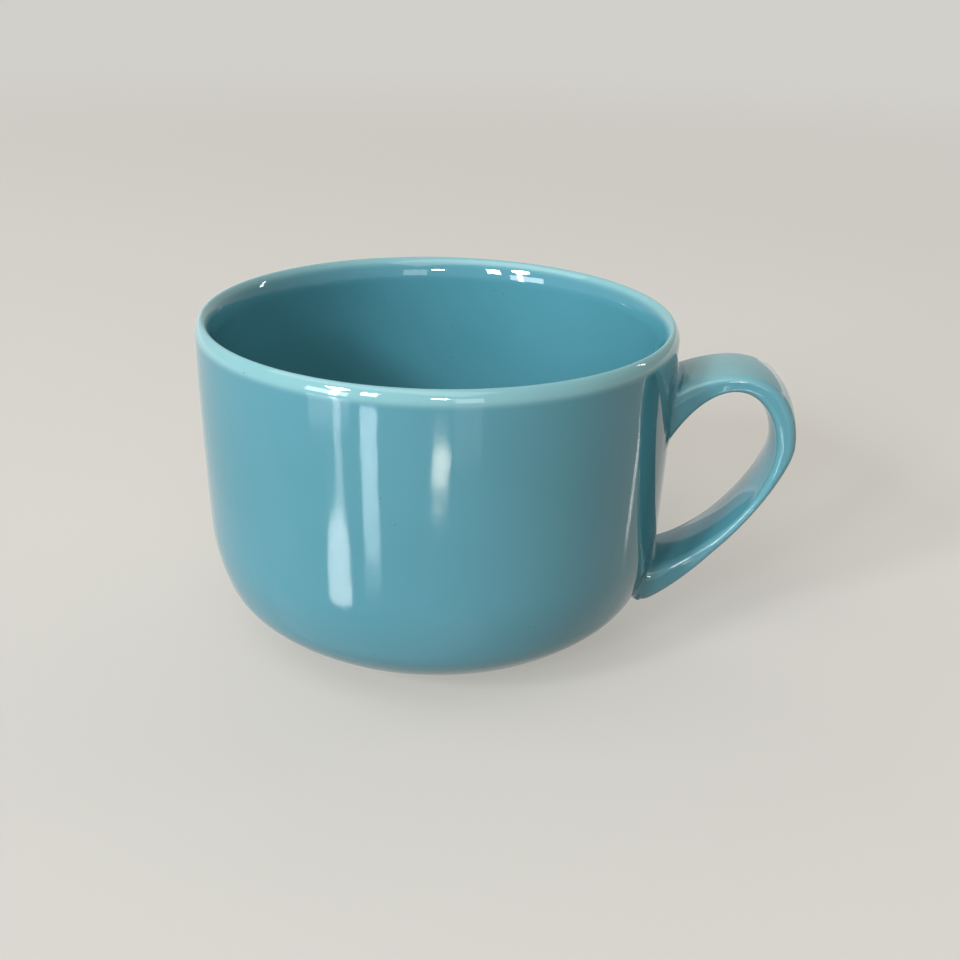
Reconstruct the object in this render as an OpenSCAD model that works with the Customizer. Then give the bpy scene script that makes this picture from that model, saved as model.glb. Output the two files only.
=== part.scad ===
// Soup mug: a wide glazed stoneware mug with a rounded belly, a low foot ring and a strap handle.
// The handle is formed by itself and fixed to the leather-hard bowl with slip at two joints.
// Millimetres, +Z up. The origin is on the bowl's axis, at the table under the foot ring,
// and the handle points along +X.

/* [Bowl] */
// Outside diameter of the mouth
mouth_d = 125; // [114:1:138]
// Height from the table to the top of the lip
height = 88; // [76:1:100]
// Thickness of the wall; the lip is a half round of this width
wall = 4.3; // [3.5:0.1:5.5]
// Thickness of the floor
floor_t = 5.6; // [4.5:0.1:8]
// Lean of the wall just under the lip, in degrees
lip_lean = 0.4; // [0.2:0.1:1.5]
// Lean of the wall where the belly starts, in degrees
belly_lean = 2.6; // [2:0.1:4.5]

/* [Belly] */
// Radius of the shoulder, where the wall starts to turn in
shoulder_r = 50; // [44:1:56]
// Radius of the belly at its tightest
belly_r = 16.5; // [12:0.5:20]
// Radius of the broad curve that runs under to the foot
bottom_r = 37.5; // [30:0.5:42]

/* [Foot ring] */
// Outside diameter of the foot ring
foot_d = 66; // [60:1:72]
// Width of the foot ring
foot_w = 4.6; // [3.5:0.1:6]
// Height of the foot ring, from the table to the hollow underside
foot_h = 1.8; // [1.2:0.1:3]
// Radius of the foot ring's edges
foot_edge = 0.8; // [0.4:0.1:1]
// Size of the hollow curves where the ring meets the belly and the underside
foot_fillet = 0.9; // [0.4:0.1:1.2]

/* [Handle strap] */
// Width of the strap
strap_w = 22; // [16:0.5:24]
// Radius of the strap's edges
strap_edge = 2.3; // [1.5:0.1:2.4]
// Length along the strap over which it spreads and rounds towards each joint
spread_run = 20; // [10:0.5:26]
// Extra width of the strap at each joint
joint_spread = 5; // [0:0.1:7]
// Height of the slight crown on the strap's broad faces
face_crown = 0.4; // [0:0.1:0.8]
// Radius of the strap's edges at each joint
joint_edge = 6; // [2.4:0.1:7]

/* [Handle's outer edge] */
// Drop from the lip to where the outer edge leaves the wall
outer_drop = 13.5; // [11:0.5:16]
// Angle at which the outer edge rises from the wall, in degrees
outer_angle = 25; // [10:1:30]
// Pull of the outer edge along that angle
outer_start_pull = 26.3; // [20:0.1:30]
// Distance from the mouth's edge out to the outer edge where it is furthest out
reach = 31.3; // [28:0.1:38]
// Drop from the lip to that furthest point
outer_furthest_drop = 27.5; // [26:0.5:34]
// Pull of the outer edge above the furthest point
outer_upper_pull = 13.9; // [8:0.1:18]
// Pull of the outer edge below the furthest point
outer_lower_pull = 11.5; // [5:0.1:18]
// Height at which the outer edge meets the belly, in a tail under the joint
tail_height = 11.5; // [10:0.5:12.5]
// Angle at which the tail rises from the belly, in degrees
tail_angle = -18; // [-24:1:-8]
// Pull of the tail along that angle
tail_pull = 12.5; // [10:0.1:16]
// Height by which the tail's blunt end curls up to the belly
tail_curl = 7; // [4:0.1:8]
// Length of that curl
tail_curl_run = 9.3; // [8:0.1:11]

/* [Handle's finger edge] */
// Drop from the lip to the foot of the web, where the finger edge leaves the wall
web_drop = 31.5; // [28:0.5:34]
// Angle at which the finger edge rises from the wall, in degrees
web_angle = 65; // [54:1:68]
// Pull of the finger edge along that angle
web_pull = 32.8; // [26:0.1:36]
// Thickness of the strap where it is furthest out
strap_t = 5.5; // [4.8:0.1:7]
// Drop from the lip to the finger edge's furthest point
finger_furthest_drop = 29; // [26:0.1:34]
// Pull of the finger edge above the furthest point
finger_upper_pull = 13.3; // [9:0.1:17]
// Pull of the finger edge below the furthest point
finger_lower_pull = 16.4; // [10:0.1:20]
// Height at which the finger edge meets the wall at the lower joint
lower_height = 24; // [23:0.5:30]
// Angle at which the finger edge rises from the lower joint, in degrees
lower_angle = -6; // [-12:1:10]
// Pull of the finger edge along that angle
lower_pull = 8.3; // [5:0.1:14]

/* [Slip joints] */
// Thickness of the slip between the handle's end and the wall
slip_t = 0.6; // [0.4:0.1:1]
// Size of the cove of slip round the handle's end
cove = 1.8; // [1.2:0.1:2.4]

/* [Hidden] */
$fn = 192;

glaze_colour = [0.33, 0.58, 0.64];
slip_colour = [0.30, 0.53, 0.58];

// Angles below level at which the belly's curves meet
shoulder_end = 20;
belly_end = 45;

lip_r = wall / 2;
lip_centre = [mouth_d / 2 - lip_r, height - lip_r];

// Height of the belly, from the hollow underside up to the start of the wall
belly_drop = shoulder_r * (sin(shoulder_end) - sin(belly_lean))
    + belly_r * (sin(belly_end) - sin(shoulder_end))
    + bottom_r * (1 - sin(belly_end));
wall_low = foot_h + belly_drop;
wall_high = lip_centre.y - lip_r * sin(lip_lean);
wall_r = (wall_high - wall_low) / (sin(belly_lean) - sin(lip_lean));

// The bowl's outside, from the lip down: the radius of each curve, the angles below level at
// which it starts and ends, and its number of steps
curves = [
    [wall_r, lip_lean, belly_lean, 12],
    [shoulder_r, belly_lean, shoulder_end, 6],
    [belly_r, shoulder_end, belly_end, 8],
    [bottom_r, belly_end, 90, 12]
];

function along(angle) = [cos(angle), -sin(angle)];

// Centre of curve i: the first is set by the lip, and each next one lies on the shared normal
function centre(i) = i == 0
    ? lip_centre + (lip_r - wall_r) * along(lip_lean)
    : centre(i - 1) + (curves[i - 1][0] - curves[i][0]) * along(curves[i][1]);

// Depth of the inside below the outside, which grows from the wall's thickness to the floor's
function depth(angle) = wall + (floor_t - wall) * sin(angle) ^ 2;

// Points from the lip down to the axis, at a distance in from the outside
function skin(inset, follow_depth = 0) = [
    for (i = [0 : len(curves) - 1])
        let (c = curves[i], middle = centre(i))
        for (k = [(i == 0 ? 0 : 1) : c[3]])
            let (angle = c[1] + (c[2] - c[1]) * k / c[3])
            middle + (c[0] - inset - follow_depth * depth(angle)) * along(angle)
];

outside = skin(0);
inside = skin(0, 1);
lip_steps = 12;
lip = [for (k = [1 : lip_steps - 1]) lip_centre + lip_r * along(lip_lean - 180 * k / lip_steps)];

function reversed(list) = [for (i = [len(list) - 1 : -1 : 0]) list[i]];

// Outside radius of the bowl at a height
heights = [for (p = reversed(outside)) [p.y, p.x]];
function radius_at(z) = lookup(z, heights);

// Height of the belly's outside by its radius, up to where the wall is nearly upright
belly_top = height / 4;
radii = [for (p = reversed(outside)) if (p.y < belly_top) p];

// The handle is drawn as a side view, between an outer edge and a finger edge. Each edge starts
// and ends this far inside the wall, which cuts it.
root = 2;
function on_wall(z) = [radius_at(z) - root, z];
function out_and_up(angle) = [cos(angle), sin(angle)];

// A hollow curve from a to b that turns in towards a corner
function hollow(a, corner, b, count) =
    [for (j = [0 : count]) let (t = j / count) (1 - t) ^ 2 * a + 2 * t * (1 - t) * corner + t ^ 2 * b];

function bezier(p, t) = (1 - t) ^ 3 * p[0] + 3 * t * (1 - t) ^ 2 * p[1]
    + 3 * t ^ 2 * (1 - t) * p[2] + t ^ 3 * p[3];

// An edge is two curves that meet at its furthest point, where it runs straight down. Its pulls
// are the lengths of the curves' handles: at the start, above and below that point, and at the end.
upper_stations = 24;
lower_stations = 28;
function edge(start, start_angle, furthest, finish, finish_angle, pulls) =
    let (
        upper = [start, start + pulls[0] * out_and_up(start_angle), furthest + [0, pulls[1]], furthest],
        lower = [furthest, furthest - [0, pulls[2]], finish + pulls[3] * out_and_up(finish_angle), finish]
    )
    concat(
        [for (k = [0 : upper_stations]) bezier(upper, k / upper_stations)],
        [for (k = [1 : lower_stations]) bezier(lower, k / lower_stations)]
    );

outer_line = edge(
    on_wall(height - outer_drop),
    outer_angle,
    [mouth_d / 2 + reach, height - outer_furthest_drop],
    on_wall(tail_height),
    tail_angle,
    [outer_start_pull, outer_upper_pull, outer_lower_pull, tail_pull]
);
finger_edge = edge(
    on_wall(height - web_drop),
    web_angle,
    [mouth_d / 2 + reach - strap_t, height - finger_furthest_drop],
    on_wall(lower_height),
    lower_angle,
    [web_pull, finger_upper_pull, finger_lower_pull, lower_pull]
);

// The outer edge's last stretch curls up, so that the tail ends blunt
outer_edge = [
    for (p = outer_line)
        let (from_end = norm(p - outer_line[len(outer_line) - 1]))
        p + [0, tail_curl * max(0, 1 - from_end / tail_curl_run) ^ 2]
];

// The strap's middle line, its half thickness at each station and the direction out of the finger gap
middles = (outer_edge + finger_edge) / 2;
spans = outer_edge - finger_edge;
last = len(middles) - 1;
function half_thickness(i) = norm(spans[i]) / 2;
function outward(i) = [spans[i].x, 0, spans[i].y] / norm(spans[i]);

// Distance along the middle line from the upper end to each station
steps = [for (i = [1 : last]) norm(middles[i] - middles[i - 1])];
runs = [for (i = 0, s = 0; i <= last; s = s + (i < last ? steps[i] : 0), i = i + 1) s];

// The strap is wider and rounder at a joint, and both die away along its run
function near_joint(i) = max(0, 1 - min(runs[i], runs[last] - runs[i]) / spread_run) ^ 2;
function half_width(i) = (strap_w + joint_spread * near_joint(i)) / 2;
function edge_r(i) = strap_edge + (joint_edge - strap_edge) * near_joint(i);

// The strap's section at station i: a rectangle with round edges and slightly crowned faces. Each
// point has its place and the direction that faces out of the strap there. A corner has its side
// of the middle line, the angle where its arc starts, and the steps and crown of the flat after it.
edge_steps = 6;
side_steps = 3;
face_steps = 6;
corners = [
    [1, 1, 0, side_steps, 0],
    [-1, 1, 90, face_steps, face_crown],
    [-1, -1, 180, side_steps, 0],
    [1, -1, 270, face_steps, face_crown]
];
function on_corner(i, c, angle) =
    [c[0] * (half_thickness(i) - edge_r(i)), c[1] * (half_width(i) - edge_r(i))] + edge_r(i) * out_and_up(angle);
function section(i) = [
    for (j = [0 : len(corners) - 1])
        let (
            c = corners[j],
            finish = c[2] + 90,
            from = on_corner(i, c, finish),
            flat = on_corner(i, corners[(j + 1) % len(corners)], finish) - from,
            face = out_and_up(finish)
        )
        each concat(
            [for (k = [0 : edge_steps]) let (a = c[2] + 90 * k / edge_steps) [on_corner(i, c, a), out_and_up(a)]],
            [for (k = [1 : c[3] - 1]) let (t = k / c[3]) [from + t * flat + 4 * t * (1 - t) * c[4] * face, face]]
        )
];
section_points = len(section(0));

// The section at station i, set in the side view
function turned(i, v) = v.x * outward(i) + [0, v.y, 0];
function ring(i) = [for (p = section(i)) [middles[i].x, 0, middles[i].y] + turned(i, p[0])];
function faces(i) = [for (p = section(i)) turned(i, p[1])];

function middle(list) = [for (p = list) 1] * list / len(list);

// A closed skin over rings of equal length, with a fan of triangles at each end. The last fan is
// raised into a dome.
module loft(rings, dome = 0) {
    n = len(rings[0]);
    top = len(rings) - 1;
    first_middle = middle(rings[0]);
    last_middle = middle(rings[top]);
    rise = last_middle - first_middle;
    hub = (top + 1) * n;
    points = concat([for (r = rings) each r], [first_middle, last_middle + dome * rise / norm(rise)]);
    sides = [
        for (i = [0 : top - 1], k = [0 : n - 1])
            let (p = i * n + k, q = i * n + (k + 1) % n)
            each [[p, q, q + n], [p, q + n, p + n]]
    ];
    first_cap = [for (k = [0 : n - 1]) [hub, (k + 1) % n, k]];
    last_cap = [for (k = [0 : n - 1]) [hub + 1, top * n + k, top * n + (k + 1) % n]];
    polyhedron(points, concat(first_cap, sides, last_cap));
}

// The strap from station a to station b. Its ends are inside the bowl's wall.
module strap(a, b) {
    loft([for (i = [a : b]) ring(i)]);
}

// The space that the bowl takes up, swollen by a distance
module bowl_space(swell) {
    rotate_extrude()
        polygon(concat(
            [[0, height + swell], [outside[0].x + swell, height + swell]],
            skin(-swell),
            [[0, foot_h - swell]]
        ));
}

// How far a point lies outside the wall, measured level
function clear_of_wall(p) = norm([p.x, p.y]) - radius_at(p.z);

// Where the strap's line k leaves the wall, going from station i by step: place and direction
function exit(k, i, step) =
    let (p = ring(i)[k], q = ring(i + step)[k], a = clear_of_wall(p), b = clear_of_wall(q))
    b > 0 ? [p + (q - p) * a / (a - b), (q - p) / norm(q - p), faces(i)[k]] : exit(k, i + step, step);

// Direction straight out of the wall at a point
function wall_normal(p) =
    let (lean = radius_at(p.z + cove / 2) - radius_at(p.z - cove / 2), n = [p.x, p.y] / norm([p.x, p.y]))
    [n.x * cove, n.y * cove, -lean] / norm([cove, lean]);

// The cove at one point of the joint: into the wall, along the wall, round the hollow curve and
// up the strap's side, then into the strap, where its hidden rim runs on and sinks in
cove_steps = 5;
rim_run = cove / 2;
rim_sink = strap_edge / 3;
function cove_line(e) =
    let (
        n = wall_normal(e[0]),
        spread = e[2] - (e[2] * n) * n,
        foot = e[0] + cove * spread / norm(spread),
        head = e[0] + cove * e[1]
    )
    concat(
        [foot - cove * n],
        hollow(foot, e[0], head, cove_steps),
        [head + rim_run * e[1] - rim_sink * e[2]]
    );

// The strap from station a to station b, cut back from the wall by the slip's thickness
module cut_strap(a, b) {
    difference() {
        strap(a, b);
        bowl_space(slip_t);
    }
}

// Slip between the wall and the handle's end that starts at station i and runs by step. The dome
// keeps it above the wall's bulge, inside the stretch of strap that is cut from it.
slip_dome = 1.5 * cove;
joint_stations = 22;
module slip_joint(i, step) {
    lines = [for (k = [0 : section_points - 1]) cove_line(exit(step > 0 ? k : section_points - 1 - k, i, step))];
    rings = [for (j = [0 : len(lines[0]) - 1]) [for (line = lines) line[j]]];
    difference() {
        loft(rings, slip_dome);
        bowl_space(0);
        cut_strap(min(i, i + step * joint_stations), max(i, i + step * joint_stations));
    }
}

// The foot ring's section: its outer edge, then its inner edge, both rounded
foot_steps = 4;
function foot_corner(x, side) = [
    for (k = [0 : foot_steps])
        let (a = (side > 0 ? 0 : -90) - 90 * k / foot_steps)
        [x - side * foot_edge, foot_edge] + foot_edge * out_and_up(a)
];
foot_outer = foot_d / 2;
foot_inner = foot_outer - foot_w;
foot_join = lookup(foot_outer, radii);

// The hollow curves, from the belly down to the ring and from the ring up to the underside
fillet_steps = 4;
fillet = min(foot_fillet, foot_h - foot_edge);
outer_fillet = hollow(
    [foot_outer + fillet, lookup(foot_outer + fillet, radii)],
    [foot_outer, foot_join],
    [foot_outer, foot_join - fillet],
    fillet_steps
);
inner_fillet = hollow(
    [foot_inner, foot_h - fillet],
    [foot_inner, foot_h],
    [foot_inner - fillet, foot_h],
    fillet_steps
);

module mug_body() {
    color(glaze_colour)
    rotate_extrude()
        polygon(concat(
            [[0, foot_h], [0, foot_h + floor_t]],
            reversed(inside),
            reversed(lip),
            [for (p = outside) if (p.x > foot_outer + fillet) p],
            outer_fillet,
            foot_corner(foot_outer, 1),
            foot_corner(foot_inner, -1),
            inner_fillet
        ));
}

module handle() {
    color(glaze_colour) cut_strap(0, last);
}

module upper_slip_joint() {
    color(slip_colour) slip_joint(0, 1);
}

module lower_slip_joint() {
    color(slip_colour) slip_joint(last, -1);
}

mug_body();
handle();
upper_slip_joint();
lower_slip_joint();
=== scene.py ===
import math
import bpy
import numpy as np
from mathutils import Matrix, Vector, noise


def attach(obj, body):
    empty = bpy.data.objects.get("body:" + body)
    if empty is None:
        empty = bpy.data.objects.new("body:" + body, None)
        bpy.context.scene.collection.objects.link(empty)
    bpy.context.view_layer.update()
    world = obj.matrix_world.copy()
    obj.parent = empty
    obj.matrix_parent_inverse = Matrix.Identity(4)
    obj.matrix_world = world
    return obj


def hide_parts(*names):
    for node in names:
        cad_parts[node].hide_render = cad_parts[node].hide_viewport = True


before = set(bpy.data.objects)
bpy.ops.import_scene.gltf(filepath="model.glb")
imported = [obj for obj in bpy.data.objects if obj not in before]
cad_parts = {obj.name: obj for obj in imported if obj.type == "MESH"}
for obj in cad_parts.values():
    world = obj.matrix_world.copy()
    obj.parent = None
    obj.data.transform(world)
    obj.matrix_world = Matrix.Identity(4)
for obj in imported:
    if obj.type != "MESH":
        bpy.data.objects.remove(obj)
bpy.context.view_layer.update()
print("frame loaded:", sorted(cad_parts))

mm = 0.001  # the pieces are worked out in millimetres, all else in metres


# shader wiring
class Wire:  # one output socket of a shader tree, which can be used in sums
    def __init__(self, tree, socket=None):
        self.tree = tree
        self.socket = socket

    def node(self, kind, settings=None, inputs=None, output=0):  # any node: settings first, then its sockets
        made = self.tree.nodes.new(kind)
        for name, value in (settings or {}).items():
            setattr(made, name, value)
        for name, value in (inputs or {}).items():
            if isinstance(value, Wire):
                self.tree.links.new(value.socket, made.inputs[name])
            else:
                made.inputs[name].default_value = value
        return Wire(self.tree, made.outputs[output] if len(made.outputs) else None)

    def maths(self, operation, first, second):
        return self.node("ShaderNodeMath", {"operation": operation}, {0: first, 1: second})

    def __add__(self, other):
        return self.maths("ADD", self, other)

    def __radd__(self, other):
        return self.maths("ADD", other, self)

    def __sub__(self, other):
        return self.maths("SUBTRACT", self, other)

    def __rsub__(self, other):
        return self.maths("SUBTRACT", other, self)

    def __mul__(self, other):
        return self.maths("MULTIPLY", self, other)

    def __rmul__(self, other):
        return self.maths("MULTIPLY", other, self)

    def __pow__(self, other):
        return self.maths("POWER", self, other)

    def larger(self, other):
        return self.maths("MAXIMUM", self, other)

    def between(self, low, high):  # 0 at low, 1 at high, smooth in between
        smooth = {"interpolation_type": "SMOOTHSTEP"}
        return self.node("ShaderNodeMapRange", smooth, {0: self, 1: low, 2: high})

    def blended(self, first, second):  # first where the mask is 0, second where it is 1
        return self.node("ShaderNodeMix", {"data_type": "RGBA"}, {0: self, 6: first, 7: second}, 2)

    def cloud(self, scale, detail, roughness=0.5):  # soft noise over a place, with its scale per metre
        return self.node("ShaderNodeTexNoise", {}, {
            "Vector": self, "Scale": scale, "Detail": detail, "Roughness": roughness})

    def dots(self, scale, edge):  # 1 in scattered round dots over a place, 0 round them
        cells = self.node("ShaderNodeTexVoronoi", {"feature": "F1"}, {"Vector": self, "Scale": scale})
        return 1 - cells.between(*edge)


def paint(red, green, blue):  # a colour from a screen, 0 to 255, as the shader wants it, by the sRGB formula
    def linear(value):
        value = value / 255
        return value / 12.92 if value <= 0.04045 else ((value + 0.055) / 1.055) ** 2.4
    return (linear(red), linear(green), linear(blue), 1.0)


def emptyTree(owner):  # the nodes of a material or world, cleared
    owner.use_nodes = True
    owner.node_tree.nodes.clear()
    return Wire(owner.node_tree)


def placeOn(wire):  # a place on a surface, its distance from the mug's axis and its height
    place = wire.node("ShaderNodeTexCoord", output="Object")
    x, y, height = (wire.node("ShaderNodeSeparateXYZ", {}, {0: place}, axis) for axis in "XYZ")
    return place, (x * x + y * y) ** 0.5, height


# the mug's shape
bowl = {  # millimetres and degrees
    "mouth": 125, "height": 88, "wall": 4.3, "floor": 5.6,
    "lipLean": 0.4, "bellyLean": 2.6,  # how far the wall faces down, at the lip and at its lower end
    "shoulderEnd": 20, "bellyEnd": 45,  # the same where the shoulder and then the belly end
    "shoulderR": 50, "bellyR": 16.5, "bottomR": 37.5,
    "foot": 66, "footWidth": 4.6, "footHeight": 1.8, "footEdge": 0.8, "footFillet": 0.9,
    "crest": 60.7,  # the radius of the glazed lip's top
    "lipOut": 3.6, "lipIn": 6.5,  # how far below the top its curve starts, outside and inside
    "lipFull": 0.42,  # how full that curve is
    "lipGap": 0.5,  # the wall's own points stop this far below it
    "bead": 0.3, "beadFrom": 70,  # how far the inner wall swells below the lip, and from what height
    "wallSteps": 40, "shoulderSteps": 16, "bellySteps": 14, "bottomSteps": 30,
    "lipSteps": 20, "footSteps": 8, "restSteps": 6, "recessSteps": 12, "segments": 288,
}


def sine(angle):
    return math.sin(math.radians(angle))


def cosine(angle):
    return math.cos(math.radians(angle))


def outAndDown(angle):
    return np.array([cosine(angle), -sine(angle)])


def outAndUp(angle):
    return np.array([cosine(angle), sine(angle)])


def clipped(value):
    return min(1.0, max(0.0, value))


lipR = bowl["wall"] / 2
lipCentre = np.array([bowl["mouth"] / 2 - lipR, bowl["height"] - lipR])
bellyDrop = (bowl["shoulderR"] * (sine(bowl["shoulderEnd"]) - sine(bowl["bellyLean"]))
             + bowl["bellyR"] * (sine(bowl["bellyEnd"]) - sine(bowl["shoulderEnd"]))
             + bowl["bottomR"] * (1 - sine(bowl["bellyEnd"])))
wallLow = bowl["footHeight"] + bellyDrop
wallHigh = lipCentre[1] - lipR * sine(bowl["lipLean"])
wallR = (wallHigh - wallLow) / (sine(bowl["bellyLean"]) - sine(bowl["lipLean"]))
curves = [  # radius, first and last angle, steps
    (wallR, bowl["lipLean"], bowl["bellyLean"], bowl["wallSteps"]),
    (bowl["shoulderR"], bowl["bellyLean"], bowl["shoulderEnd"], bowl["shoulderSteps"]),
    (bowl["bellyR"], bowl["shoulderEnd"], bowl["bellyEnd"], bowl["bellySteps"]),
    (bowl["bottomR"], bowl["bellyEnd"], 90, bowl["bottomSteps"]),
]


def skin(followDepth):  # from the lip down to the axis, outside (0) or inside (1)
    centre = lipCentre + (lipR - wallR) * outAndDown(bowl["lipLean"])
    points = []
    for index, (radius, start, end, steps) in enumerate(curves):
        if index:
            centre = centre + (curves[index - 1][0] - radius) * outAndDown(start)
        for step in range(0 if index == 0 else 1, steps + 1):
            angle = start + (end - start) * step / steps
            depth = bowl["wall"] + (bowl["floor"] - bowl["wall"]) * sine(angle) ** 2
            points.append(centre + (radius - followDepth * depth) * outAndDown(angle))
    return np.array(points)


outside = skin(0)
inside = skin(1)
footOuter = bowl["foot"] / 2
footInner = footOuter - bowl["footWidth"]


def radiusAt(height, side=outside):
    return np.interp(height, side[::-1, 1], side[::-1, 0])


def heightAt(radius):  # of the outside, under the belly
    low = outside[outside[:, 1] < bowl["height"] / 4]
    return float(np.interp(radius, low[::-1, 0], low[::-1, 1]))


def hollow(start, corner, end):  # a soft turn from start to end, drawn towards the corner
    t = np.linspace(0, 1, bowl["footSteps"] + 1)[:, None]
    return (1 - t) ** 2 * np.array(start) + 2 * t * (1 - t) * np.array(corner) + t ** 2 * np.array(end)


def bezier(p, steps):
    t = np.linspace(0, 1, steps + 1)[:, None]
    return (1 - t) ** 3 * p[0] + 3 * t * (1 - t) ** 2 * p[1] + 3 * t ** 2 * (1 - t) * p[2] + t ** 3 * p[3]


def lipProfile():  # from the inner wall over the lip to the outer wall
    top, full = bowl["height"], bowl["lipFull"]
    crest = np.array([bowl["crest"], top])
    inFoot = np.array([radiusAt(top - bowl["lipIn"], inside) - bowl["bead"], top - bowl["lipIn"]])
    outFoot = np.array([radiusAt(top - bowl["lipOut"]), top - bowl["lipOut"]])

    def upToCrest(foot, drop):
        return [foot, foot + [0, full * drop], crest - [full * (crest[0] - foot[0]), 0], crest]

    inner = bezier(upToCrest(inFoot, bowl["lipIn"]), bowl["lipSteps"])
    outer = bezier(upToCrest(outFoot, bowl["lipOut"])[::-1], bowl["lipSteps"])
    return np.vstack([inner, outer[1:]])


def footProfile():  # from the belly round the foot ring to the middle of the recess inside it
    edge, fillet, top = bowl["footEdge"], bowl["footFillet"], bowl["footHeight"]
    steps, restSteps, recessSteps = bowl["footSteps"], bowl["restSteps"], bowl["recessSteps"]
    join, flat = heightAt(footOuter), bowl["footWidth"] - 2 * edge
    belly = (footOuter + fillet, heightAt(footOuter + fillet))

    def rounded(middle, first):
        return [middle + edge * outAndUp(first - 90 * k / steps) for k in range(steps + 1)]

    turnOut = hollow(belly, (footOuter, join), (footOuter, join - fillet))
    outerEdge = rounded(np.array([footOuter - edge, edge]), 0)
    restFace = [np.array([footOuter - edge - flat * k / restSteps, 0]) for k in range(1, restSteps)]
    innerEdge = rounded(np.array([footInner + edge, edge]), -90)
    turnIn = hollow((footInner, top - fillet), (footInner, top), (footInner - fillet, top))
    recess = [np.array([(footInner - fillet) * (1 - k / recessSteps), top]) for k in range(1, recessSteps)]
    return [*turnOut, *outerEdge, *restFace, *innerEdge, *turnIn, *recess]


def bowlProfile():  # from beside the axis inside, over the lip, to beside the axis below
    lip = lipProfile()
    lipStart, beadFrom = lip[0][1], bowl["beadFrom"]
    lowWall = [p for p in inside[::-1][1:] if p[1] < lipStart - bowl["lipGap"]]
    swell = [clipped((p[1] - beadFrom) / (lipStart - beadFrom)) ** 2 for p in lowWall]
    innerWall = [p - [bowl["bead"] * share, 0] for p, share in zip(lowWall, swell)]
    footStart = footOuter + bowl["footFillet"]
    outerWall = [p for p in outside if p[1] < lip[-1][1] - bowl["lipGap"] and p[0] > footStart]
    return [*innerWall, *lip, *outerWall, *footProfile()]


uneven = {  # how the cast and fired wall strays from true, in millimetres
    "size": 0.05,
    "run": 26, "upright": 0.7,  # how long its swellings are, and how much a step upwards counts in them
    "from": 3, "over": 12,  # the height where it starts, and over which it grows
    "innermost": 20,  # nothing strays nearer to the axis
}


def strayed(x, y, z):  # a point of the true bowl, moved in or out to where the fired wall is
    rise = clipped((z - uneven["from"]) / uneven["over"])
    radius = math.hypot(x, y)
    if radius <= uneven["innermost"] or rise == 0:
        return x, y, z
    stray = uneven["size"] * rise * noise.noise(Vector((x, y, z * uneven["upright"])) / uneven["run"])
    return x * (1 + stray / radius), y * (1 + stray / radius), z


def meshPiece(name, points, faces, material, nodes):
    data = bpy.data.meshes.new(name)
    data.from_pydata([tuple(float(x) * mm for x in p) for p in points], [], faces)
    data.validate()
    data.shade_smooth()
    data.materials.append(material)
    piece = bpy.data.objects.new(name, data)
    bpy.context.scene.collection.objects.link(piece)
    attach(piece, "root")
    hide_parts(*nodes)
    return piece


def makeBowl(material):  # the profile turned round the axis
    profile = bowlProfile()
    rows, count = len(profile), bowl["segments"]
    turns = np.linspace(0, 2 * math.pi, count, endpoint=False)
    points = [(0, 0, inside[-1][1])]
    for radius, height in profile:
        points += [(radius * math.cos(turn), radius * math.sin(turn), height) for turn in turns]
    points.append((0, 0, bowl["footHeight"]))
    faces = []
    for k in range(count):
        follow = (k + 1) % count
        faces.append((0, 1 + k, 1 + follow))
        for row in range(rows - 1):
            a, b = 1 + row * count + k, 1 + row * count + follow
            faces.append((a, a + count, b + count, b))
        last = 1 + (rows - 1) * count
        faces.append((last + k, len(points) - 1, last + follow))
    meshPiece("bowl", [strayed(*p) for p in points], faces, material, ["mug_body"])


# the handle's shape; its lines are seen from beside it, as distances from the axis and heights
strap = {  # millimetres and degrees
    "width": 22, "thickness": 5.5,
    "reach": 31.3,  # how far it stands out past the mouth
    # both sides leave the wall at start with a rise and a pull, turn down at furthest with pulls up and
    # down, and meet the wall again at finish
    "outer": {  # the side away from the bowl, from the upper joint to the tail
        "start": bowl["height"] - 13.5, "rise": 25, "pull": 26.3,
        "furthest": bowl["height"] - 27.5, "upper": 13.9, "lower": 11.5,
        "finish": 11.5, "finishRise": -18, "finishPull": 12.5,
    },
    "finger": {  # the side towards the bowl, from the web to the lower joint
        "start": bowl["height"] - 31.5, "rise": 65, "pull": 32.8,
        "furthest": bowl["height"] - 29, "upper": 13.3, "lower": 16.4,
        "finish": 24, "finishRise": -6, "finishPull": 8.3,
    },
    "root": 2,  # how deep both ends lie in the wall
    "tailCurl": 7, "tailCurlRun": 9.3,  # how far the tail curls up, and over what length
    "jointSpread": 5, "spreadRun": 20,  # how much wider it is at a joint, and over what length
    "edge": 2.3, "jointEdge": 6,  # the radius of its edges, between the joints and at one
    "edgeShare": 0.97,  # this radius stays within this share of half the depth
    "crown": 0.4,  # how far its two faces swell in the middle
    "thinOut": 0.2, "thinIn": 0.5,  # how far its edges lie back between the joints, outside and inside
    "bulgeIn": 0.2,  # how far the finger side stands out in the middle there
    "edgeThinAndHighlight": 0.5,  # how pale its edges are, of 1: the glaze thinner there, and a painted highlight along them
    "paintedTopSheen": (1.5, 0.3),  # a painted sheen where its outer side looks up: this times how far up, less that
    "topRound": 0.5,  # the cosine of how far round the edges the outer side goes
    "upperSteps": 72, "lowerSteps": 84, "edgeSteps": 10, "sideSteps": 6, "faceSteps": 14,
}


def edgeLine(reach, start, rise, pull, furthest, upper, lower, finish, finishRise, finishPull):
    begin = np.array([radiusAt(start) - strap["root"], start])
    end = np.array([radiusAt(finish) - strap["root"], finish])
    far = np.array([reach, furthest])
    out, back = begin + pull * outAndUp(rise), end + finishPull * outAndUp(finishRise)
    first = bezier([begin, out, far + [0, upper], far], strap["upperSteps"])
    second = bezier([far, far - [0, lower], back, end], strap["lowerSteps"])
    return np.vstack([first, second[1:]])


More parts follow.
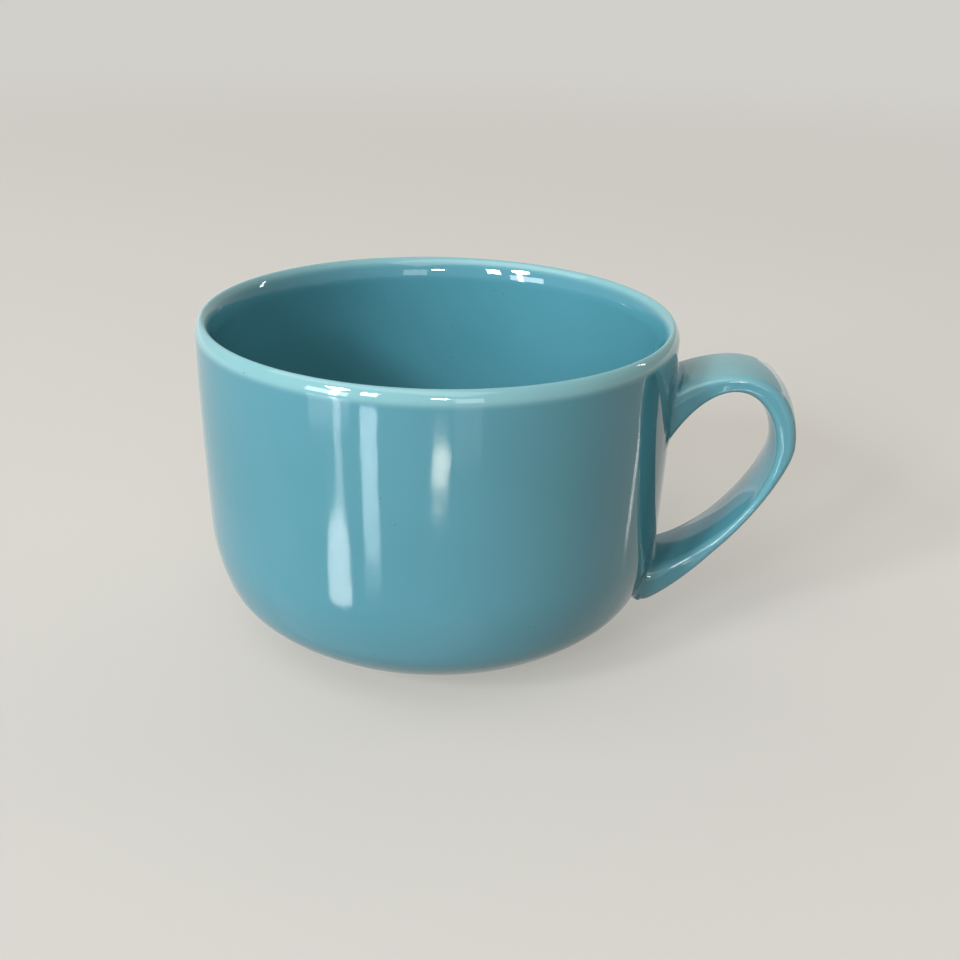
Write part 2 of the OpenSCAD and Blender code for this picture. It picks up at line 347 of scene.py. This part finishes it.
def edgeLines():  # the strap's outer and finger side
    reach = bowl["mouth"] / 2 + strap["reach"]
    outer = edgeLine(reach, **strap["outer"])
    finger = edgeLine(reach - strap["thickness"], **strap["finger"])
    fromEnd = np.linalg.norm(outer - outer[-1], axis=1)
    outer[:, 1] += strap["tailCurl"] * np.maximum(0, 1 - fromEnd / strap["tailCurlRun"]) ** 2
    return outer, finger


def strapRing(middle, outward, depthOf, swellOf, halfWide, edgeR):  # its places, facings, and how pale its glaze is: thinner on the edges, with a painted highlight there and a painted sheen on top
    slope, less = strap["paintedTopSheen"]
    # the outer side made paler where it looks up: a painted sheen
    topSheen = clipped(slope * outward[2] - less)
    ring, facing, thinAndSheen = [], [], []

    def add(place, angle, edgeThinAndHighlight):
        face = outAndUp(angle)
        ring.append(middle + place[0] * outward + np.array([0, place[1], 0]))
        facing.append(face[0] * outward + np.array([0, face[1], 0]))
        thinAndSheen.append(max(edgeThinAndHighlight, topSheen if face[0] > strap["topRound"] else 0.0))

    def onCorner(side, across, angle):
        centre = np.array([side * (depthOf[side] - edgeR), across * (halfWide - edgeR)])
        return centre + edgeR * outAndUp(angle)

    corners = [(1, 1), (-1, 1), (-1, -1), (1, -1)]  # outer (1) or finger side (-1), and left or right
    for j, corner in enumerate(corners):
        for k in range(strap["edgeSteps"] + 1):
            angle = 90 * j + 90 * k / strap["edgeSteps"]
            # paler round each edge: thinner glaze there, and a painted highlight
            edgeThinAndHighlight = strap["edgeThinAndHighlight"] * math.sin(math.pi * k / strap["edgeSteps"])
            add(onCorner(*corner, angle), angle, edgeThinAndHighlight)
        finish = 90 * j + 90
        start = onCorner(*corner, finish)
        flat = onCorner(*corners[(j + 1) % 4], finish) - start
        onFace = j % 2 == 1  # the other two flats are the strap's narrow sides
        steps, swell = (strap["faceSteps"], swellOf[corner[0]]) if onFace else (strap["sideSteps"], 0)
        for k in range(1, steps):
            t = k / steps
            add(start + t * flat + 4 * t * (1 - t) * swell * outAndUp(finish), finish, 0.0)
    return ring, facing, thinAndSheen


def strapRings():  # all sections from the upper joint to the tail
    outer, finger = edgeLines()
    middles = (outer + finger) / 2
    spans = outer - finger
    runs = np.concatenate([[0], np.cumsum(np.linalg.norm(np.diff(middles, axis=0), axis=1))])
    near = np.maximum(0, 1 - np.minimum(runs, runs[-1] - runs) / strap["spreadRun"]) ** 2  # 1 at a joint
    free = 1 - near
    half = np.linalg.norm(spans, axis=1) / 2
    depthOut = half - strap["thinOut"] * free
    depthIn = half - strap["thinIn"] * free
    swellOut = strap["crown"] + strap["thinOut"] * free
    swellIn = strap["crown"] + (strap["thinIn"] + strap["bulgeIn"]) * free
    halfWide = (strap["width"] + strap["jointSpread"] * near) / 2
    edgeR = strap["edge"] + (strap["jointEdge"] - strap["edge"]) * near
    edgeR = np.minimum(strap["edgeShare"] * (depthOut + depthIn) / 2, edgeR)
    sections = []
    for i, (x, z) in enumerate(middles):
        outward = np.array([spans[i][0], 0, spans[i][1]]) / np.linalg.norm(spans[i])
        depthOf = {1: depthOut[i], -1: depthIn[i]}
        swellOf = {1: swellOut[i], -1: swellIn[i]}
        sections.append(strapRing(np.array([x, 0, z]), outward, depthOf, swellOf, halfWide[i], edgeR[i]))
    return (np.array(part) for part in zip(*sections))


def tube(rings):  # quads between rings of equal length, with a fan at each end
    rows, count = len(rings), len(rings[0])
    points = [p for ring in rings for p in ring]
    points += [np.mean(rings[0], axis=0), np.mean(rings[-1], axis=0)]
    first, last = rows * count, rows * count + 1
    faces = []
    for row in range(rows - 1):
        for k in range(count):
            a, b = row * count + k, row * count + (k + 1) % count
            faces.append((a, a + count, b + count, b))
    for k in range(count):
        follow = (k + 1) % count
        faces.append((first, k, follow))
        faces.append((last, (rows - 1) * count + follow, (rows - 1) * count + k))
    return points, faces


def makeStrap(rings, thinAndSheenRows, material):
    points, faces = tube(rings)
    piece = meshPiece("strapHandle", points, faces, material, ["handle"])
    # how much its glaze is paled: thinner glaze, a painted highlight on the edges and a painted sheen on top
    layer = piece.data.attributes.new("thinAndSheen", "FLOAT", "POINT")
    values = [float(value) for thinAndSheen in thinAndSheenRows for value in thinAndSheen] + [0.0, 0.0]  # 0 in the fans
    layer.data.foreach_set("value", values)


cove = {  # the slip that fills the angle between handle and wall, smoothed by hand; millimetres
    "size": 1.8, "steps": 12,
    "wobble": 0.3, "wobbleRun": 2.6, "wobbleMean": 0.5,  # its waviness: how deep, how long, and its mean
    "hems": ((0.45, 0.015), (0.9, 0.25)),  # how far it runs on past its edges, and how deep it lies there
    "back": 0.8,  # how far it reaches in behind the angle
}


def clearOf(p):  # how far a place is outside the wall, measured level
    return math.hypot(p[0], p[1]) - radiusAt(p[2])


def wallNormal(p):
    step = cove["size"] / 2
    lean = radiusAt(p[2] + step) - radiusAt(p[2] - step)
    flat = np.array([p[0], p[1]]) / math.hypot(p[0], p[1])
    normal = np.array([flat[0] * 2 * step, flat[1] * 2 * step, -lean])
    return normal / np.linalg.norm(normal)


def ontoWall(p, lift):  # moves a place to this height above the wall
    normal = wallNormal(p)
    for _ in range(4):  # each step comes closer
        p = p + (lift - clearOf(p) * math.hypot(normal[0], normal[1])) * normal
    return p


def leaving(rings, facings, k, step):  # where line k leaves the wall, its course and its facing
    row = 0 if step > 0 else len(rings) - 1
    while True:
        p, q = rings[row][k], rings[row + step][k]
        before, after = clearOf(p), clearOf(q)
        if after > 0:
            place = p + (q - p) * before / (before - after)
            return place, (q - p) / np.linalg.norm(q - p), facings[row][k]
        row += step


def coveColumn(place, course, facing):  # from inside the wall over the cove into the strap, and back behind
    normal = wallNormal(place)
    spread = facing - (facing @ normal) * normal
    spread = spread / np.linalg.norm(spread)
    foot = ontoWall(place + cove["size"] * spread, 0.0)
    head = place + cove["size"] * course
    inward = (foot + head) / 2 - place
    inward = inward / np.linalg.norm(inward)
    column = [ontoWall(foot + run * spread, -deep) for run, deep in reversed(cove["hems"])]
    for j in range(cove["steps"] + 1):
        t = j / cove["steps"]
        point = (1 - t) ** 2 * foot + 2 * t * (1 - t) * place + t ** 2 * head
        wave = cove["wobbleMean"] + noise.noise(Vector(point) / cove["wobbleRun"])
        column.append(point + cove["wobble"] * wave * math.sin(math.pi * t) ** 2 * inward)
    column += [head + run * course - deep * facing for run, deep in cove["hems"]]
    return [*column, place - cove["back"] * inward]


def makeCove(name, rings, facings, step, material, node):  # step: 1 at the upper end, -1 at the tail
    count = len(rings[0])
    lines = range(count) if step > 0 else reversed(range(count))
    columns = [coveColumn(*leaving(rings, facings, k, step)) for k in lines]
    rows = len(columns[0])
    points = [column[j] for j in range(rows) for column in columns]
    faces = []
    for row in range(rows):
        below = (row + 1) % rows * count
        for k in range(count):
            follow = (k + 1) % count
            faces.append((row * count + k, below + k, below + follow, row * count + follow))
    meshPiece(name, points, faces, material, [node])


# finishes
# a cloud is noise: its scale per metre, its detail and sometimes its roughness; a mask is the two values
# of that noise where it starts and where it is full; dots are cells per metre and the dots' edge in a cell
glaze = {
    "colour": (74, 131, 144),
    "deep": (69, 127, 139), "poolCloud": (22, 3), "poolMask": (0.3, 0.72),  # thick below this mask
    "paleAndSheen": (158, 196, 192),  # where it breaks thin over an edge; also a painted sheen on the lip, and a painted highlight and sheen on the strap
    "lipBreakAndSheen": 0.44, "lipMottle": 0.25, "lipCloud": (60, 2),  # how pale the lip is: thinner glaze and a painted sheen
    "lipFrom": (0.0834, 0.0858), "lipInner": 0.0019,  # metres: where it starts, and how much higher inside
    "lipMiddle": (0.0590, 0.0608),  # metres from the axis, where inside turns to outside
    "edgeBreakAndSheen": 0.36, "edgeMottle": 0.3, "edgeCloud": (90, 2),  # how pale the strap's edges and top are: thinner glaze, a painted highlight on the edges and a painted sheen on top
    "speck": (58, 100, 108), "speckShare": 0.5,  # the pinholes' colour, and how strong it is
    "speckDots": (330, (0.06, 0.13)), "speckCloud": (150, 0), "speckMask": (0.66, 0.70),
    "roughness": 0.035, "ior": 1.52,
    "smudge": 0.03, "smudgeCloud": (45, 4, 0.6), "smudgeMask": (0.5, 0.8),  # more roughness in dull patches
    "ripple": 0.00011, "rippleCloud": (62, 1),  # metres, the slow waves that bend a reflection
    "peel": 0.000006, "peelCloud": (700, 1),  # metres, the fine orange peel
}
clay = {  # the bare rest face of the foot ring
    "colour": (196, 184, 164), "dark": (181, 168, 148),
    "grainCloud": (900, 4, 0.65), "grainMask": (0.3, 0.7),
    "grit": (120, 104, 86), "gritShare": 0.35, "gritDots": (1100, (0.10, 0.2)),
    "line": 0.0005, "lineEdge": (-0.00015, 0.0001),  # metres, the glaze line's height and how soft it is
    "waver": 0.0009, "waverCloud": (130, 3),  # metres, how far the line runs up and down
    "roughness": 0.8,
    "bump": 0.00005,  # metres, the grain that can be felt
}


def mottled(cloud, share):  # 1, less up to this share
    return (1 - share) + share * cloud


def wipedFoot(place, height, colour, rough, bump):  # bare clay below the glaze line
    waver = clay["waver"] * place.cloud(*clay["waverCloud"]) - clay["waver"] / 2
    bare = 1 - (height + waver).between(*(clay["line"] + edge for edge in clay["lineEdge"]))
    grain = place.cloud(*clay["grainCloud"])
    body = grain.between(*clay["grainMask"]).blended(paint(*clay["dark"]), paint(*clay["colour"]))
    body = (clay["gritShare"] * place.dots(*clay["gritDots"])).blended(body, paint(*clay["grit"]))
    rough = rough + bare * (clay["roughness"] - glaze["roughness"])
    return bare.blended(colour, body), rough, bump + clay["bump"] * bare * grain


def glazeMaterial(name, thinEdgesAndSheen=False, wiped=False):
    material = bpy.data.materials.new(name)
    wire = emptyTree(material)
    place, fromAxis, height = placeOn(wire)
    shallow = place.cloud(*glaze["poolCloud"]).between(*glaze["poolMask"])
    inner = 1 - fromAxis.between(*glaze["lipMiddle"])
    overLip = (height - inner * glaze["lipInner"]).between(*glaze["lipFrom"])
    # the lip paler: thinner glaze there, and a painted sheen
    thinAndSheen = overLip * mottled(place.cloud(*glaze["lipCloud"]), glaze["lipMottle"]) * glaze["lipBreakAndSheen"]
    # on the strap, also its edges and top paler: thinner glaze, a painted highlight along the edges and a
    # painted sheen on top
    if thinEdgesAndSheen:
        ridge = wire.node("ShaderNodeAttribute", {"attribute_name": "thinAndSheen"}, output="Fac")
        mottle = mottled(place.cloud(*glaze["edgeCloud"]), glaze["edgeMottle"])
        thinAndSheen = thinAndSheen.larger(ridge * glaze["edgeBreakAndSheen"] * mottle)
    colour = shallow.blended(paint(*glaze["deep"]), paint(*glaze["colour"]))
    colour = thinAndSheen.blended(colour, paint(*glaze["paleAndSheen"]))
    speck = place.dots(*glaze["speckDots"]) * place.cloud(*glaze["speckCloud"]).between(*glaze["speckMask"])
    colour = (speck * glaze["speckShare"]).blended(colour, paint(*glaze["speck"]))
    smudges = place.cloud(*glaze["smudgeCloud"]).between(*glaze["smudgeMask"])
    rough = glaze["roughness"] + glaze["smudge"] * smudges
    ripple = glaze["ripple"] * place.cloud(*glaze["rippleCloud"])
    bump = ripple + glaze["peel"] * place.cloud(*glaze["peelCloud"])
    if wiped:
        colour, rough, bump = wipedFoot(place, height, colour, rough, bump)
    normal = wire.node("ShaderNodeBump", {}, {"Strength": 1.0, "Distance": 1.0, "Height": bump})
    surface = wire.node("ShaderNodeBsdfPrincipled", {}, {
        "Base Color": colour, "Roughness": rough, "IOR": glaze["ior"], "Normal": normal})
    wire.node("ShaderNodeOutputMaterial", {}, {"Surface": surface})
    return material


bodyGlaze = glazeMaterial("bodyGlaze", wiped=True)
handleGlaze = glazeMaterial("handleGlaze", thinEdgesAndSheen=True)
slipGlaze = glazeMaterial("slipGlaze")
print("finishes made")

makeBowl(bodyGlaze)
rings, facings, thinAndSheenRows = strapRings()
makeStrap(rings, thinAndSheenRows, handleGlaze)
makeCove("upperCove", rings, facings, 1, slipGlaze, "upper_slip_joint")
makeCove("lowerCove", rings, facings, -1, slipGlaze, "lower_slip_joint")
print("bowl, handle and coves made")


# floor, light and camera
view = {  # as the photograph was taken; metres, degrees, and millimetres for the lens
    "handleTurn": 8.39,  # the handle points this far towards the camera from the right
    "place": (0.0, -0.31503, 0.17737),
    "pitch": 23.485, "yaw": 2.16, "roll": 1.634,
    "lens": 46.72, "sensor": 36.0, "clip": (0.01, 60.0),
}
turned = Matrix.Rotation(math.radians(view["handleTurn"]), 4, "Z")  # from the camera's bearings to the mug's

# bearings are degrees left (negative) or right of straight towards the camera; seen from its spot, which
# it faces, a lamp fills its bearings and elevations
lamps = {
    "windowLeft": {"bearings": (-48.6, -45.0), "elevations": (4.0, 28.5), "radiance": 22.0,
                   "tint": (0.94, 1.0, 1.05), "spot": (-0.13, -0.16, 0)},
    "windowLeftTop": {"bearings": (-54.0, -43.4), "elevations": (27.0, 37.0), "radiance": 66.0,
                      "tint": (0.95, 1.0, 1.04), "spot": (-0.07, -0.10, 0), "oval": True},
    "windowLow": {"bearings": (-60.0, -41.0), "elevations": (6.0, 19.0), "radiance": 10.0,
                  "tint": (0.90, 1.0, 1.06), "spot": (0.05, 0, 0.03)},
    "windowNear": {"bearings": (-35.0, -27.6), "elevations": (20.0, 32.8), "radiance": 42.0,
                   "tint": (0.86, 1.0, 1.10), "spot": (-0.09, -0.17, 0)},
    "card": {"bearings": (-3.0, 5.8), "elevations": (23.6, 27.0), "radiance": 84.0,
             "tint": (1.0, 0.96, 0.84), "spot": (0.0, -0.22, 0), "oval": True},
    "windowRight": {"bearings": (7.5, 20.0), "elevations": (6.0, 22.0), "radiance": 3.5,
                    "tint": (0.94, 1.0, 1.04), "spot": (0, 0, 0.08)},
    "doorway": {"bearings": (110.6, 112.4), "elevations": (18.0, 28.5), "radiance": 20.0,
                "tint": (1.0, 1.0, 0.98), "spot": (0.14, 0.0, 0)},
    "ceiling": {"bearings": (-80.0, 5.0), "elevations": (44.0, 74.0), "radiance": 2.0,
                "tint": (1.0, 0.97, 0.93), "spot": (0, 0, 0.045), "distance": 1.9},
}
walls = {  # far lamps that light the shade but aren't mirrored
    "wallLeft": {"bearings": (-165.0, -104.0), "elevations": (3.6, 56.0)},
    "wallBack": {"bearings": (-221.0, -165.0), "elevations": (3.6, 60.0)},
    "wallRight": {"bearings": (98.0, 139.0), "elevations": (3.6, 60.0)},
}
wallLight = {
    "radiance": 0.95, "tint": (1.0, 0.99, 0.96), "spot": (0, 0, 0.045), "distance": 6.5, "mirrored": False,
}


def spanAt(distance, angles):  # how wide a range of angles is at this distance
    return 2 * distance * math.tan(math.radians(angles[1] - angles[0]) / 2)


def makeLamp(name, bearings, elevations, radiance, tint, spot, distance=2.4, oval=False, mirrored=True):
    data = bpy.data.lights.new(name, "AREA")
    data.shape = "ELLIPSE" if oval else "RECTANGLE"
    data.size, data.size_y = spanAt(distance, bearings), spanAt(distance, elevations)
    filled = math.pi / 4 if oval else 1  # of its width times its height
    data.energy = radiance * math.pi * data.size * data.size_y * filled
    data.color = tint
    lamp = bpy.data.objects.new(name, data)
    bpy.context.scene.collection.objects.link(lamp)
    a, e = (math.radians(sum(angles) / 2) for angles in (bearings, elevations))
    towards = Vector((math.sin(a) * math.cos(e), -math.cos(a) * math.cos(e), math.sin(e)))
    lamp.location = turned @ (Vector(spot) + distance * towards)
    lamp.rotation_mode = "QUATERNION"
    lamp.rotation_quaternion = (turned @ Vector(spot) - lamp.location).to_track_quat("-Z", "Y")
    lamp.visible_glossy = mirrored


for name, values in lamps.items():
    makeLamp(name, **values)
for name, values in walls.items():
    makeLamp(name, **values, **wallLight)

floorLook = {
    "colour": (140, 137, 132), "near": (160, 158, 153),  # round the mug: its own colour, and its glow
    "farColour": (30, 29, 28), "far": (208, 206, 200),  # the same far off, where lamps would show in it
    "spread": (0.45, 1.7),  # metres over which near turns to far
    "gloss": 0.10, "ior": 1.7,  # only for what the mug mirrors
    "size": 30.0, "drop": 0.00002,  # metres, and how far it lies below the rest face
}
room = {"colour": (0.96, 0.96, 0.93, 1), "light": 0.05, "shown": 0.68}


def seenRay(wire):  # 1 for what the camera sees, also in a mirror or through glass
    rays = ("Is Camera Ray", "Is Glossy Ray", "Is Transmission Ray")
    direct, mirrored, through = (wire.node("ShaderNodeLightPath", output=ray) for ray in rays)
    return direct.larger(mirrored).larger(through)


def floorMaterial():
    material = bpy.data.materials.new("paleFloor")
    wire = emptyTree(material)
    _, fromAxis, _ = placeOn(wire)
    away = fromAxis.between(*floorLook["spread"])
    ground = away.blended(paint(*floorLook["colour"]), paint(*floorLook["farColour"]))
    shown = away.blended(paint(*floorLook["near"]), paint(*floorLook["far"]))
    matt = wire.node("ShaderNodeBsdfDiffuse", {}, {"Color": ground})
    glossy = wire.node("ShaderNodeBsdfPrincipled", {}, {
        "Base Color": ground, "Roughness": floorLook["gloss"], "IOR": floorLook["ior"]})
    mirrored = wire.node("ShaderNodeLightPath", output="Is Glossy Ray")
    surface = wire.node("ShaderNodeMixShader", {}, {0: mirrored, 1: matt, 2: glossy})
    glow = wire.node("ShaderNodeEmission", {}, {"Color": shown, "Strength": seenRay(wire)})
    both = wire.node("ShaderNodeAddShader", {}, {0: surface, 1: glow})
    wire.node("ShaderNodeOutputMaterial", {}, {"Surface": both})
    return material


def makeFloor():
    half = floorLook["size"] / 2
    corners = [(-half, -half, 0), (half, -half, 0), (half, half, 0), (-half, half, 0)]
    data = bpy.data.meshes.new("floor")
    data.from_pydata(corners, [], [(0, 1, 2, 3)])
    data.materials.append(floorMaterial())
    floor = bpy.data.objects.new("floor", data)
    bpy.context.scene.collection.objects.link(floor)
    floor.location.z = -floorLook["drop"]


def makeWorld():
    world = bpy.data.worlds.new("paleRoom")
    bpy.context.scene.world = world
    wire = emptyTree(world)
    strength = room["light"] + seenRay(wire) * (room["shown"] - room["light"])
    backdrop = wire.node("ShaderNodeBackground", {}, {"Color": room["colour"], "Strength": strength})
    wire.node("ShaderNodeOutputWorld", {}, {"Surface": backdrop})


def makeCamera():
    data = bpy.data.cameras.new("camera")
    data.lens, data.sensor_width = view["lens"], view["sensor"]
    data.clip_start, data.clip_end = view["clip"]
    camera = bpy.data.objects.new("camera", data)
    bpy.context.scene.collection.objects.link(camera)
    pitch, yaw, roll = (math.radians(view[k]) for k in ("pitch", "yaw", "roll"))
    forward = Vector((math.sin(yaw) * math.cos(pitch), math.cos(yaw) * math.cos(pitch), -math.sin(pitch)))
    right = Vector((math.cos(yaw), -math.sin(yaw), 0))
    up = right.cross(forward)
    right, up = math.cos(roll) * right + math.sin(roll) * up, math.cos(roll) * up - math.sin(roll) * right
    pose = Matrix((right, up, -forward)).transposed().to_4x4()
    pose.translation = Vector(view["place"])
    camera.matrix_world = turned @ pose
    bpy.context.scene.camera = camera


makeFloor()
makeWorld()
makeCamera()
bpy.context.scene.view_settings.view_transform = "Standard"
print("floor, light and camera made")
